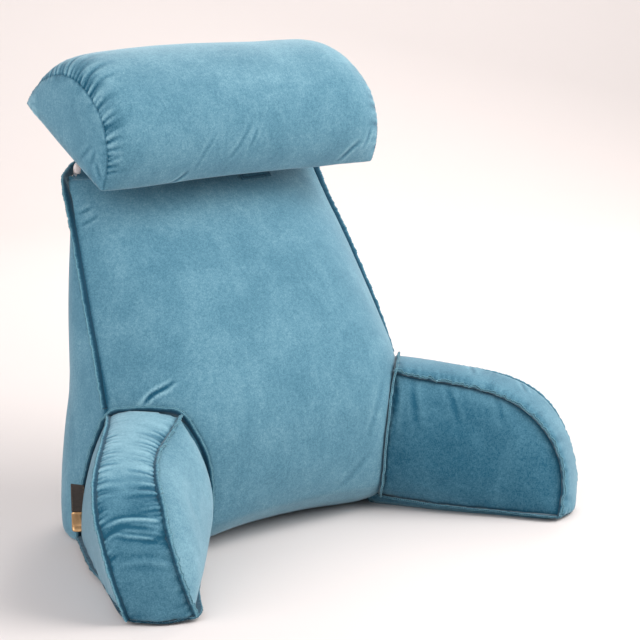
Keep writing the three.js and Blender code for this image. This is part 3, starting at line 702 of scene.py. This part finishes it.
# The way in which the root face of the right arm lies off the middle, and how far off it is, in mm
ARM_REACH = np.array([0.795, -0.608, 0.0])
ARM_ROOT_AT = 226
ARM_REST = 2
ARM_HELD_EASE = 8
INNER_SEAM = [
    # x, y, z of the seam between boxing and inner panel of the right arm, from the root over to the floor
    (180, -143, 191), (205, -162, 183), (230, -182, 177), (259, -205, 170), (282, -231, 162),
    (300, -259, 150), (312, -286, 132), (321, -309, 106), (323, -327, 75), (318, -337, 44), (306, -342, 7),
]
OUTER_SEAM = [
    # x, y, z of the seam between boxing and outer panel of the right arm, the same way
    (244, -77, 187), (269, -111, 186), (295, -142, 182), (321, -173, 177), (347, -202, 168),
    (369, -228, 152), (383, -250, 129), (389, -271, 98), (389, -287, 66), (384, -299, 32), (374, -301, 6),
]
FOOT_SEAM = [
    # x, y, z of the seam round the foot of the right arm, from the root's inside round the tip to its outside
    (160, -137, 18), (206, -208, 12), (260, -280, 9), (306, -342, 7), (326, -339, 5), (346, -330, 4),
    (362, -316, 5), (374, -301, 6), (338, -202, 8), (292, -98, 10), (248, -8, 10),
]
ROOT_SEAM_STAND = [
    # share of the root seam, how far it stands out there in mm: least down the inner side of the arm
    (0.0, 7.2), (0.52, 7.2), (0.66, 5.0), (1.0, 4.2),
]
FOOT_SEAM_STAND = [
    # share of the foot seam, how far it stands out there: round the tip it is turned under
    (0.0, 1.0), (0.35, 1.0), (0.385, 0.7), (0.4, -0.3), (0.72, -0.3), (0.8, 1.0), (1.0, 1.0),
]


def matched(line, count):
    """The line with so many points."""
    at = np.linspace(0, len(line) - 1, count)
    return np.stack([np.interp(at, np.arange(len(line)), line[:, k]) for k in range(3)], 1)


def clear_of(points, seam, ease):
    """0 on a seam, rising to 1 away from it over about so many mm."""
    return 1 - np.exp(-((nearest(points, seam)[0] / (ease * MM)) ** 2))


# A gather starts and ends over so many mm of its seam, grows and wanes in waves this long, and puffs up the
# cloth between its folds by this share of its depth
GATHER_EASE = 12
GATHER_WAVE = 40
GATHER_PUFF = 0.22


def gathers(points, seam, other, first, last, spacing, reach, depth, slant, seed):
    """Depth of the pinched folds that run from a seam into the cloth on the other seam's side."""
    dice = np.random.RandomState(seed)
    off, run, index = nearest(points, seam)
    towards = matched(other, len(seam)) - seam
    side = ((points - seam[index]) * towards[index]).sum(1) > -1e-6
    near = side & (off < 1.8 * reach * MM)
    off, run = off[near] / MM, run[near] / MM
    length = run_along(seam)[-1] / MM
    folds = GATHER_PUFF * depth * np.clip(1 - off / reach, 0, 1)
    folds *= np.clip((run - first * length) / GATHER_EASE, 0, 1)
    folds *= np.clip((last * length - run) / GATHER_EASE, 0, 1)
    folds *= 1 + 0.9 * wander(run * MM, seed, GATHER_WAVE * MM)
    at = first * length
    while at < last * length:
        at += spacing * dice.uniform(0.6, 1.4)
        far = reach * dice.uniform(0.3, 1.7)
        wide = spacing * dice.uniform(0.2, 0.34)
        deep = depth * dice.uniform(0.4, 1.0)
        lean = slant + dice.uniform(-0.18, 0.18)
        bend = 0.35 * lean * off**2 / reach
        gap = (run - at - lean * off + bend) / (wide * (1 + 0.8 * off / reach))
        folds += -deep * np.exp(-gap**2) * np.clip(1 - off / far, 0, 1) ** 1.2
    total = np.zeros(len(points))
    total[near] = folds * MM
    return total


ARM_CREASES = {
    # path, half width, depth; a negative depth is a raised fold
    "left": [
        (
            ((-384, -264, 110), (-365, -272, 119), (-348, -282, 120), (-328, -295, 117), (-316, -304, 112)),
            2.2, -1.5,
        ),
        (
            ((-388, -272, 94), (-374, -276, 104), (-361, -287, 103), (-341, -302, 100), (-320, -316, 95)),
            2.2, -1.3,
        ),
        (((-386, -268, 104), (-366, -276, 112), (-346, -290, 111), (-322, -306, 105)), 3.0, 1.0),
        (((-386, -292, 74), (-360, -308, 78), (-326, -330, 72)), 4, -0.6),
    ],
    "right": [
        (((178, -146, 192), (173, -157, 163), (160, -169, 104)), 4.5, 0.8),
        (((199, -162, 186), (189, -177, 157), (183, -192, 118)), 4.5, 0.45),
        (((236, -192, 182), (232, -207, 155), (230, -224, 124)), 4.5, 0.4),
        (((284, -238, 166), (279, -254, 143), (276, -266, 112)), 4.5, 0.3),
        (((311, -158, 185), (298, -176, 182), (283, -196, 176)), 3.5, 0.6),
        (((350, -219, 161), (342, -232, 158), (335, -245, 153)), 3.5, 0.6),
    ],
}
ARM_GATHERS = {
    # from which seam, first and last share of it, spacing, reach, depth, slant, seed
    "left": [
        ("inner", 0.16, 0.72, 7.4, 30, 2.4, 0.0, 22), ("outer", 0.22, 0.8, 6.8, 26, 2.2, -0.55, 32),
        ("inner", 0.66, 1.0, 13, 26, 0.9, 0.1, 42), ("outer", 0.74, 1.0, 13, 20, 0.8, -0.2, 52),
        ("inner", 0.02, 0.2, 9, 46, 0.6, 0.0, 62), ("outer", 0.02, 0.24, 9, 46, 0.6, 0.0, 72),
        ("inner", 0.14, 0.82, 6, 7, 1.1, 0.0, 82), ("outer", 0.14, 0.82, 6, 7, 1.2, 0.0, 92),
    ],
    "right": [
        ("inner", 0.02, 0.8, 8.5, 26, 0.8, 0.0, 23), ("outer", 0.02, 0.8, 8.5, 26, 0.8, 0.0, 33),
        ("inner", 0.76, 1.0, 12, 22, 0.7, 0.0, 43), ("outer", 0.76, 1.0, 12, 22, 0.7, 0.0, 53),
    ],
}
ARM_STRIPS = {
    # how far each seam of the boxing leans over, how high it stands, how much painted light it gets, its
    # sway and ripple
    ("left", "inner"): (1.2, 5.4, 0.35, 1.6, 1.5), ("left", "outer"): (2.0, 4.0, 0.1, 1.4, 1.3),
    ("right", "inner"): (1.3, 8.0, 0.1, 2.2, 1.3), ("right", "outer"): (3.0, 2.2, 0.5, 0.8, 0.8),
}
# How many mm the boxing and the inner panel swell between their seams, and how far off the seams that starts
BOXING_PUFF = {"left": 1.5, "right": 4.0}
BOXING_PUFF_EASE = 8
PANEL_PUFF = {"left": 5.5, "right": 1.0}
PANEL_PUFF_EASE = 24
# How many mm the foot goes in and out in waves this long, and how far up
FOOT_SCALLOP = 0.9
FOOT_SCALLOP_WAVE = 46
FOOT_SCALLOP_REACH = 11
ARM_SEAM_VALLEY_REACH = 3
ARM_GRID = 3.6
# From this height on, and over so many mm, the boxing counts as the arm's top
ARM_TOP_FROM = 132
ARM_TOP_EASE = 50
# How much painted light (above 0) or painted shade (below 0) each arm's inner panel and boxing strip gets
ARM_PAINTED_LIGHT = {
    "left": {"panel": 0.16, "top": 0.3, "tip": -0.14},
    "right": {"panel": -0.28, "top": -0.1, "tip": -0.04},
}
for hand, mirror in (("right", 1), ("left", -1)):
    flip = np.array([mirror, 1, 1])
    inner = curve(INNER_SEAM) * flip
    outer = curve(OUTER_SEAM) * flip
    foot = curve(FOOT_SEAM) * flip
    root = curve(ROOT_RING) * flip
    arm_velvet = velvet(
        f"arm_{hand}_velvet", DEEP_TEAL, MID_TEAL, PALE_TEAL,
        stroke_length=(3.2, 1, 1), stroke_turn=mirror * math.atan2(0.53, 0.85),
    )

    def held_at_root(points, flip=flip):
        """How firmly the floor and the back's side hold the cloth of the arm."""
        inside = (points * flip / MM - np.array(PLAN_SHIFT)) @ ARM_REACH
        low = np.clip(1 - (points[:, 2] / MM - ARM_REST) / ARM_HELD_EASE, 0, 1)
        return np.maximum(low, np.clip((ARM_ROOT_AT - inside) / ARM_HELD_EASE, 0, 1))

    arm = filled_cover(
        f"arm_{hand}_cover", f"arm_{hand}", ARM_GRID, [inner, outer, foot], held_at_root,
        pressure=2.4, slack=0.012, most=4,
    )
    points = points_of(arm.data)
    depth = sum(crease(points, *row) for row in ARM_CREASES[hand])
    pairs = {"inner": (inner, outer), "outer": (outer, inner)}
    for kind, *row in ARM_GATHERS[hand]:
        depth += gathers(points, *pairs[kind], *row)
    for seam in (inner, outer, foot):
        off, run, _ = nearest(points, seam)
        stands = np.interp(run / run.max(), *zip(*FOOT_SEAM_STAND)) if seam is foot else 1.0
        depth -= MM * np.clip(stands, 0, 1) * np.exp(-((off / (ARM_SEAM_VALLEY_REACH * MM)) ** 2))
    off, run, _ = nearest(points, foot)
    fullness = FOOT_SCALLOP * MM * wander(run, 5 + mirror, FOOT_SCALLOP_WAVE * MM, 3)
    fullness *= np.exp(-((off / (FOOT_SCALLOP_REACH * MM)) ** 2))
    outwards = normals_of(arm.data) @ (np.array([0.85, 0.53, 0.0]) * flip)
    high = np.clip((points[:, 2] / MM - ARM_TOP_FROM) / ARM_TOP_EASE, 0, 1)
    on_panel = np.clip(-outwards * 2.4 - 0.9, 0, 1)
    on_boxing = np.clip(1.6 - np.abs(outwards) * 2.4, 0, 1)
    inside, outside = (clear_of(points, seam, BOXING_PUFF_EASE) for seam in (inner, outer))
    fullness += BOXING_PUFF[hand] * MM * on_boxing * inside * outside
    in_panel = [clear_of(points, seam, PANEL_PUFF_EASE) for seam in (inner, foot, root)]
    fullness += PANEL_PUFF[hand] * MM * on_panel * np.prod(in_panel, axis=0)
    # Painted light and shade: inner panel, top of the boxing and its tip, each by how it faces the light
    part_light = ARM_PAINTED_LIGHT[hand]
    painted_light = on_panel * part_light["panel"] + on_boxing * (part_light["tip"] + high * (part_light["top"] - part_light["tip"]))
    shaped(arm, depth, painted_light, fullness)
    dressed(arm, arm_velvet, "velvet", f"arm_{hand}", fill=0.9)

    # The seams of the arm stand out like those of the front panel: over both edges of the boxing, round the
    # root and round the foot.
    for kind, seam, across_seam, seed in (("inner", inner, outer, 61), ("outer", outer, inner, 71)):
        droop, stand, tone, sway, ripple = ARM_STRIPS[hand, kind]
        line = matched(seam, int(len(seam) / SEAM_SPACING))
        sideways = line - matched(across_seam, len(line))
        sideways /= np.linalg.norm(sideways, axis=1, keepdims=True)
        forward = np.gradient(line, axis=0)
        forward /= np.linalg.norm(forward, axis=1, keepdims=True)
        up = np.cross(sideways, forward)
        up /= np.linalg.norm(up, axis=1, keepdims=True)
        up *= np.sign(up @ (ARM_AXIS * flip) + up[:, 2])[:, None]
        standing_seam(
            f"arm_{kind}_seam_strip_{hand}", line, up + droop * sideways, f"arm_{kind}_seam_{hand}",
            seed + mirror,
            stand=stand, sway=sway, ripple=ripple, ears=0.4, tone=tone,
        )
    line = matched(root, int(len(root) / SEAM_SPACING))
    away = line - line.mean(0)
    axis = ARM_AXIS * flip
    away -= (away @ axis)[:, None] * axis
    away /= np.linalg.norm(away, axis=1, keepdims=True)
    share = run_along(line) / run_along(line)[-1]
    standing_seam(
        f"arm_root_seam_strip_{hand}", line, away + 0.55 * axis, f"arm_root_seam_{hand}", 81 + mirror,
        stand=np.interp(share, *zip(*ROOT_SEAM_STAND)), thickness=2.4, sway=0.8, ripple=0.15, opening=0.3,
    )
    line = matched(foot, int(len(foot) / SEAM_SPACING))
    heading = np.gradient(line, axis=0)
    outs = np.stack([heading[:, 1], -heading[:, 0], 0 * heading[:, 0]], 1) * -mirror
    outs *= np.sign((outs * (line - line.mean(0))).sum(1).mean())
    share = run_along(line) / run_along(line)[-1]
    # Painted shade: the foot strip is drawn much darker where it hugs the floor
    standing_seam(
        f"arm_foot_seam_strip_{hand}", line, outs, f"arm_foot_seam_{hand}", 91 + mirror,
        stand=5.4 * np.interp(share, *zip(*FOOT_SEAM_STAND)), thickness=2.0, sway=0.7, tone=-0.55,
    )


# Neck roll
# A half-round bolster that lies on the back's top with its flat side down. Its main panel is longer than the
# rounded end panels and gathered into them, so short deep folds crowd along both end seams.
ROLL_EDGE = [
    # y, z of an end seam, from the front lower corner over the top to the rear corner
    (-39, 467), (-50, 495), (-53, 520), (-49, 543), (-37, 568), (-14, 589), (12, 604), (42, 611), (73, 607),
    (99, 597), (121, 582), (137, 565),
]
ROLL_LEFT, ROLL_RIGHT = -222, 229
ROLL_DROP = 4
left_end = curve([(ROLL_LEFT, y, z) for y, z in ROLL_EDGE])
right_end = curve([(ROLL_RIGHT, y, z - ROLL_DROP) for y, z in ROLL_EDGE])
left_flat = curve([(ROLL_LEFT, *ROLL_EDGE[0]), (ROLL_LEFT, 49, 516), (ROLL_LEFT, *ROLL_EDGE[-1])])
right_flat = curve([(ROLL_RIGHT, -39, 463), (ROLL_RIGHT, 49, 512), (ROLL_RIGHT, 137, 561)])
ROLL_GRID = 4.1
roll = filled_cover(
    "neck_roll_cover", "neck_roll", ROLL_GRID, [left_end, right_end, left_flat, right_flat],
    lambda p: np.zeros(len(p)), pressure=2.0, slack=0.015, most=4,
)
ROLL_CREASES = [
    # path, half width, depth
    (((-92, -52, 482), (-80, -68, 512), (-66, -71, 534)), 3, 0.35),
    (((-44, -58, 490), (-20, -70, 522), (-6, -71, 548)), 3, 0.4),
    (((-7, -68, 510), (-1, -71, 524), (4, -71, 536)), 2.6, 0.45),
    (((-126, -39, 467), (-112, -44, 472), (-98, -56, 486)), 3, 1.0),
    (((160, -46, 472), (174, -58, 489), (190, -63, 502)), 3.6, 0.9),
    (((190, -46, 478), (202, -58, 500), (208, -64, 520)), 3.2, 0.6),
    (((-229, -1, 507), (-230, -18, 520), (-229, -29, 529)), 3, 0.4),
    (((-229, -23, 503), (-229, -30, 512), (-228, -34, 523)), 3, 0.5),
    (((-225, -40, 484), (-226, -37, 496), (-227, -34, 508)), 3, 0.5),
    (((-226, 132, 563), (-230, 114, 560), (-231, 95, 553)), 2.8, 1.3),
    (((-226, 131, 568), (-230, 116, 575), (-231, 100, 577)), 2.8, 1.1),
    (((-226, 122, 555), (-230, 106, 547), (-231, 92, 540)), 2.8, 1.1),
]
ROLL_GATHERS = [
    # seam, towards the middle (1) or away (-1), first and last share, spacing, reach, depth, slant, seed
    ("left", 1, 0.07, 0.5, 7.0, 24, 2.6, 0.4, 101), ("left", 1, 0.42, 0.95, 7.0, 42, 2.4, 0.3, 102),
    ("left", -1, 0.1, 0.95, 8.0, 8, 0.8, 0.0, 103), ("right", 1, 0.07, 0.95, 8.0, 26, 2.2, 0.2, 104),
    ("right", -1, 0.1, 0.95, 8.0, 7, 0.8, 0.0, 105), ("left_flat", -1, 0.05, 0.95, 9.0, 12, 1.1, 0.0, 106),
]
ROLL_SEAM_VALLEY = 0.7
ROLL_SEAM_VALLEY_REACH = 1.6
# Painted light: the roll is painted paler where it faces upwards
ROLL_TOP_PAINTED_LIGHT = 0.1
points = points_of(roll.data)
depth = sum(crease(points, *row) for row in ROLL_CREASES)
# Which way inwards is, with the length in mm over which a gather looks for its own side of the seam
ends = {"left": (left_end, 60), "right": (right_end, -60), "left_flat": (left_flat, 60)}
for end, way, *row in ROLL_GATHERS:
    seam, inwards = ends[end]
    depth += gathers(points, seam, seam + np.array([way * inwards, 0, 0]) * MM, *row)
for seam in (left_end, right_end, left_flat, right_flat):
    off, _, _ = nearest(points, seam)
    depth -= ROLL_SEAM_VALLEY * MM * np.exp(-((off / (ROLL_SEAM_VALLEY_REACH * MM)) ** 2))
# Painted light on the roll's upward-facing top
facing = normals_of(roll.data)
shaped(roll, depth, ROLL_TOP_PAINTED_LIGHT * np.clip(facing[:, 2], 0, 1))
dressed(roll, body_velvet, "velvet", "neck_roll", fill=0.85)

# The end seams of the roll are turned in, and only the short stitches that hold the gathers show.
GROOVE = 0.9
STITCHES_FROM = 8
STITCH_SPACING = 5
STITCH_THREAD = 0.6
gather_thread = thread_material("gather_thread", (0.03, 0.1, 0.15), (0.09, 0.22, 0.29))
for end in ("left", "right"):
    seam, inwards = ends[end]
    inside = seam.mean(0) - seam
    inside /= np.linalg.norm(inside, axis=1, keepdims=True)
    inside[:, 0] += np.sign(inwards) * 0.6
    groove = seam + GROOVE * MM * inside
    stitches = [groove[k:k + 3] for k in range(STITCHES_FROM, len(groove) - STITCHES_FROM, STITCH_SPACING)]
    threads(f"roll_{end}_end_stitches", stitches, STITCH_THREAD, gather_thread, "velvet_seam")


# Strap end
# The end of the strap that ties the roll down: a flat tape of the same velvet, folded and stitched at its
# edges, that peeps out under the roll and lies on the front panel. It takes the darker copy of the velvet and
# is painted darker still: painted shade from the gap under the roll. Its stitching lines carry painted shade.
STRAP_GRID = 0.8
STRAP_STITCHING = 3.2
STRAP_STITCHING_WIDTH = 0.8
STRAP_STITCHING_DEPTH = 0.5
# Painted shade: the strap is painted darker where it lies in the gap under the roll
STRAP_PAINTED_SHADE = -0.12
strap = bpy.data.objects.new("strap_end_tape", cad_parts["strap_end"].data.copy())
scene.collection.objects.link(strap)
remesh = strap.modifiers.new("remesh", "REMESH")
remesh.mode = "VOXEL"
remesh.voxel_size = STRAP_GRID * MM
round_off = strap.modifiers.new("round_off", "SMOOTH")
round_off.factor = 0.5
round_off.iterations = 3
strap_shape = baked(strap)
strap_shape.shade_smooth()
points = points_of(strap_shape)
low, high = points.min(0), points.max(0)
from_edge = np.minimum.reduce([points[:, 0] - low[0], high[0] - points[:, 0], points[:, 2] - low[2]]) / MM
stitched = np.exp(-(((from_edge - STRAP_STITCHING) / STRAP_STITCHING_WIDTH) ** 2))
shaped(strap, -STRAP_STITCHING_DEPTH * MM * stitched, np.full(len(points), STRAP_PAINTED_SHADE))
dressed(strap, shaded_seam_velvet, "velvet", "strap_end")


# Corner button
# An oval button of polished pale horn, sewn on in the hollow at the left top corner, behind the front panel.
# Its shank is hidden, and it leans out to the front.
BUTTON_SHIFT = (-4.0, -8.0, 0.0)
horn = bpy.data.materials.new("white_horn")
horn.use_nodes = True
nodes, link = horn.node_tree.nodes, horn.node_tree.links.new
horn_shader = nodes["Principled BSDF"]
horn_place = nodes.new("ShaderNodeTexCoord")
clouds = nodes.new("ShaderNodeTexNoise")
clouds.inputs["Scale"].default_value = 110
clouds.inputs["Detail"].default_value = 4
clouds.inputs["Distortion"].default_value = 1.2
link(horn_place.outputs["Object"], clouds.inputs["Vector"])
horn_tone = nodes.new("ShaderNodeMix")
horn_tone.data_type = "RGBA"
horn_tone.inputs["A"].default_value = (0.62, 0.5, 0.47, 1)
horn_tone.inputs["B"].default_value = (0.86, 0.78, 0.76, 1)
link(clouds.outputs["Fac"], horn_tone.inputs["Factor"])
link(horn_tone.outputs["Result"], horn_shader.inputs["Base Color"])
rubbed = nodes.new("ShaderNodeMapRange")
rubbed.inputs["To Min"].default_value = 0.14
rubbed.inputs["To Max"].default_value = 0.34
link(clouds.outputs["Fac"], rubbed.inputs["Value"])
link(rubbed.outputs["Result"], horn_shader.inputs["Roughness"])
horn_shader.inputs["Coat Weight"].default_value = 0.5
horn_shader.inputs["Subsurface Weight"].default_value = 0.15
horn_shader.inputs["Subsurface Radius"].default_value = (0.004, 0.003, 0.002)
button = bpy.data.objects.new("corner_button_oval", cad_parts["corner_button"].data.copy())
scene.collection.objects.link(button)
button_shape = baked(button)
work = bmesh.new()
work.from_mesh(button_shape)
bmesh.ops.remove_doubles(work, verts=work.verts, dist=1e-5)
work.to_mesh(button_shape)
work.free()
rounder = button.modifiers.new("rounder", "SUBSURF")
rounder.levels = 1
rounder.render_levels = 1
button_shape = baked(button)
set_points(button_shape, points_of(button_shape) + np.array(BUTTON_SHIFT) * MM)
button_shape.shade_smooth()
dressed(button, horn, "white_button", "corner_button")


# Label
# A doubled dark brown ribbon caught in the seam behind the left arm, stitched down both edges, with a thin
# brass plate closed over its lower end. Both are bare.
LABEL_ROOT = np.array([-251.0, -27.0, 0.0])
LABEL_WAY = np.array([-0.8, 0.6, 0.0])
LABEL_FACING = np.array([-0.6, -0.8, 0.0])
LABEL_WIDTH = 18.0


def tab(name, rows, thickness, rounding, slant, material, slot, node):
    """A closed tab: a rounded section at each height of the table, bowed outwards and narrowed as it says."""
    half = LABEL_WIDTH / 2
    sections = []
    for height, bow, narrower in rows:
        ring = []
        for turn in np.linspace(0, 2 * math.pi, 24, endpoint=False):
            across = np.sign(math.cos(turn)) * abs(math.cos(turn)) ** rounding * (half - narrower)
            out = np.sign(math.sin(turn)) * abs(math.sin(turn)) ** rounding * thickness / 2 + bow
            spot = LABEL_ROOT + LABEL_WAY * (half + across) + LABEL_FACING * out
            ring.append(plan(spot[0], spot[1], height + slant * across / half))
        sections.append(ring)
    return meshed(name, *swept(np.array(sections)), material, slot, node)


RIBBON_ROWS = [
    # height, bow, how much narrower on each side
    (48, 0.4, 0.3), (49, 0.4, 0), (54, 0.6, 0), (59, 1.1, 0), (64, 1.8, 0), (69, 2.6, 0), (74, 3.2, 0),
    (79, 3.6, 0), (84, 3.8, 0), (86, 3.8, 0), (87, 3.8, 0.3),
]
PLATE_ROWS = [
    (23.0, 2.6, 2.6), (23.4, 2.5, 1.2), (25, 1.8, 0.3), (28, 0.7, 0), (32, 0.0, 0), (37, -0.1, 0),
    (42, 0.6, 0), (45, 1.6, 0), (47.4, 2.2, 0.1), (48.8, 2.0, 0.7), (49.3, 1.7, 1.8),
]


def stuff(name, dark, light, metallic, rough_low, rough_high, grain, stretch, relief):
    """A two-toned material with a stretched grain that colours it, dulls it and stands in low relief."""
    material = bpy.data.materials.new(name)
    material.use_nodes = True
    nodes, link = material.node_tree.nodes, material.node_tree.links.new
    shader = nodes["Principled BSDF"]
    place = nodes.new("ShaderNodeTexCoord")
    turn = nodes.new("ShaderNodeMapping")
    turn.vector_type = "TEXTURE"
    turn.inputs["Scale"].default_value = stretch
    link(place.outputs["Object"], turn.inputs["Vector"])
    noise = nodes.new("ShaderNodeTexNoise")
    noise.inputs["Scale"].default_value = grain
    noise.inputs["Detail"].default_value = 5
    link(turn.outputs["Vector"], noise.inputs["Vector"])
    tone = nodes.new("ShaderNodeMix")
    tone.data_type = "RGBA"
    tone.inputs["A"].default_value = (*dark, 1)
    tone.inputs["B"].default_value = (*light, 1)
    link(noise.outputs["Fac"], tone.inputs["Factor"])
    link(tone.outputs["Result"], shader.inputs["Base Color"])
    dull = nodes.new("ShaderNodeMapRange")
    dull.inputs["To Min"].default_value = rough_high
    dull.inputs["To Max"].default_value = rough_low
    link(noise.outputs["Fac"], dull.inputs["Value"])
    link(dull.outputs["Result"], shader.inputs["Roughness"])
    bump = nodes.new("ShaderNodeBump")
    bump.inputs["Strength"].default_value = relief
    bump.inputs["Distance"].default_value = 0.0003
    link(noise.outputs["Fac"], bump.inputs["Height"])
    link(bump.outputs["Normal"], shader.inputs["Normal"])
    shader.inputs["Metallic"].default_value = metallic
    return material


ribbon_weave = stuff(
    "ribbon_weave", (0.018, 0.012, 0.009), (0.07, 0.05, 0.04), 0, 0.5, 0.75, 900, (6, 6, 1), 0.7,
)
brass = stuff("brass", (0.3, 0.15, 0.06), (0.85, 0.56, 0.3), 1, 0.12, 0.34, 120, (1, 1, 3), 0.3)
ribbon_thread = thread_material("ribbon_thread", (0.12, 0.085, 0.06), (0.25, 0.19, 0.14))
tab("label_ribbon_tape", RIBBON_ROWS, 1.7, 0.25, 1.2, ribbon_weave, "brown_ribbon", "label_ribbon")
tab("label_plate_brass", PLATE_ROWS, 4.4, 0.8, 0.0, brass, "brass_plate", "label_plate")
# The stitches down the ribbon's edges: how far in, from and to what height, how far apart, and their points
DASH_INSET = 1.6
DASH_FROM, DASH_TO, DASH_EVERY = 51.5, 83, 4.2
DASH_POINTS = (0, 1.3, 2.6)
DASH_OUT = 0.95
ribbon_heights, ribbon_bows, _ = zip(*RIBBON_ROWS)
dashes = []
for edge in (DASH_INSET, LABEL_WIDTH - DASH_INSET):
    for low_end in np.arange(DASH_FROM, DASH_TO, DASH_EVERY):
        dash = []
        for k in DASH_POINTS:
            out = DASH_OUT + np.interp(low_end + k, ribbon_heights, ribbon_bows)
            spot = LABEL_ROOT + LABEL_WAY * edge + LABEL_FACING * out
            dash.append(plan(spot[0], spot[1], low_end + k))
        dashes.append(np.array(dash))
threads("label_ribbon_stitches", dashes, 0.7, ribbon_thread, "brown_ribbon")

# Last: the sizes before and after
size = {"cad": [list(corner) for corner in cad_box], "visual": [list(corner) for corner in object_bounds()]}
